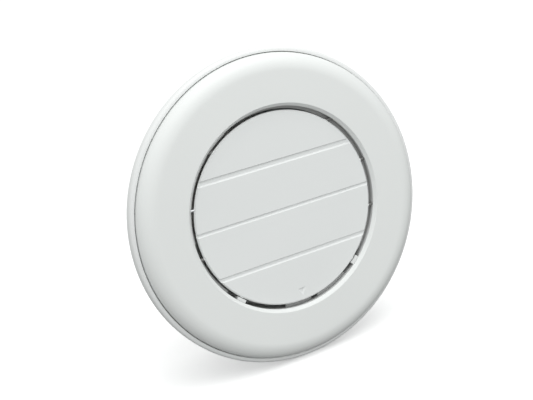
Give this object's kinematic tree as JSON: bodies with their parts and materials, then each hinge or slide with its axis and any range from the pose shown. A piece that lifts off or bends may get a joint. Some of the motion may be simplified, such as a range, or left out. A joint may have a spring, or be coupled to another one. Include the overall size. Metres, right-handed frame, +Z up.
{
  "type": "heat recovery unit",
  "caption": "Round room-side heat recovery ventilator unit: white wall ring, louvre shutter, and a short cartridge with filter, reversible fan and ceramic heat store.",
  "frame": {"origin": "on the duct axis at the wall plane, where the spigot leaves the back of the wall plate", "axes": "+Z up as installed, -Y out into the room, +Y along the duct into the wall, +X to the right seen from the room"},
  "size_m": [0.2592, 0.1006, 0.2592],
  "materials": {
    "ring_white": "satin",
    "plate_white": "satin",
    "blade_white": "satin",
    "frame_white": "satin",
    "tube_grey": "satin",
    "dark_plastic": "satin",
    "black_rubber": "matte",
    "grey_foam": "matte",
    "filter_fleece": "matte",
    "ceramic": "matte",
    "steel": "satin",
    "magnet": "matte",
    "copper_wire": "satin",
    "circuit_board": "gloss",
    "black_component": "gloss",
    "terminal_grey": "satin",
    "brass_screw": "satin",
    "lead_black": "matte"
  },
  "bodies": {
    "wall_unit": {"wall_plate": "plate_white", "spigot_ring": "plate_white", "wall_gasket": "grey_foam", "cable_grommet": "black_rubber", "catch_springs": "steel", "control_board": "circuit_board", "board_components": "black_component", "board_screws": "steel", "terminal_block": "terminal_grey", "terminal_screws": "brass_screw", "contact_plug": "dark_plastic", "fan_lead": "lead_black", "cartridge_tube": "tube_grey", "tube_seals": "black_rubber", "filter_frame": "tube_grey", "filter_media": "filter_fleece", "fan_housing": "dark_plastic", "motor_board": "circuit_board", "stator_core": "steel", "stator_coils": "copper_wire", "front_bearing": "steel", "rear_bearing": "steel", "ceramic_core": "ceramic", "core_wrap": "grey_foam", "rear_guard": "dark_plastic", "guard_screws": "steel"},
    "front": {"front_cover": "ring_white", "louvre_frame": "frame_white", "frame_screws": "steel", "actuator_case": "dark_plastic", "actuator_lid": "dark_plastic", "actuator_screws": "steel", "contact_socket": "dark_plastic", "actuator_lead": "lead_black"},
    "louvre_1": {"blade_1": "blade_white"},
    "louvre_2": {"blade_2": "blade_white", "drive_shaft": "steel"},
    "louvre_3": {"blade_3": "blade_white"},
    "louvre_4": {"blade_4": "blade_white"},
    "link": {"tie_bar": "tube_grey"},
    "fan_rotor": {"impeller": "dark_plastic", "rotor_magnet": "magnet", "fan_shaft": "steel", "shaft_clip": "steel"}
  },
  "joints": [
    {"name": "front_pull_off", "type": "slide", "parent": "wall_unit", "child": "front", "axis": [0, -1, 0], "range_m": [0, 0.04]},
    {"name": "louvre_2_tilt", "type": "hinge", "parent": "front", "child": "louvre_2", "pos_m": [0, -0.0116, 0.0204], "axis": [-1, 0, 0], "range_deg": [0, 45]},
    {"name": "louvre_1_tilt", "type": "hinge", "parent": "front", "child": "louvre_1", "pos_m": [0, -0.0116, 0.0604], "axis": [-1, 0, 0], "range_deg": [0, 45]},
    {"name": "louvre_3_tilt", "type": "hinge", "parent": "front", "child": "louvre_3", "pos_m": [0, -0.0116, -0.0196], "axis": [-1, 0, 0], "range_deg": [0, 45]},
    {"name": "louvre_4_tilt", "type": "hinge", "parent": "front", "child": "louvre_4", "pos_m": [0, -0.0116, -0.0596], "axis": [-1, 0, 0], "range_deg": [0, 45]},
    {"name": "link_swing", "type": "hinge", "parent": "louvre_2", "child": "link", "pos_m": [0, -0.0017, 0.0349], "axis": [-1, 0, 0], "range_deg": [-45, 0]},
    {"name": "fan_spin", "type": "hinge", "parent": "wall_unit", "child": "fan_rotor", "pos_m": [0, 0.03, 0], "axis": [0, 1, 0], "continuous": true}
  ],
  "couplings": [
    {"joint": "louvre_1_tilt", "follows": "louvre_2_tilt", "ratio": 1},
    {"joint": "louvre_3_tilt", "follows": "louvre_2_tilt", "ratio": 1},
    {"joint": "louvre_4_tilt", "follows": "louvre_2_tilt", "ratio": 1},
    {"joint": "link_swing", "follows": "louvre_2_tilt", "ratio": -1}
  ]
}
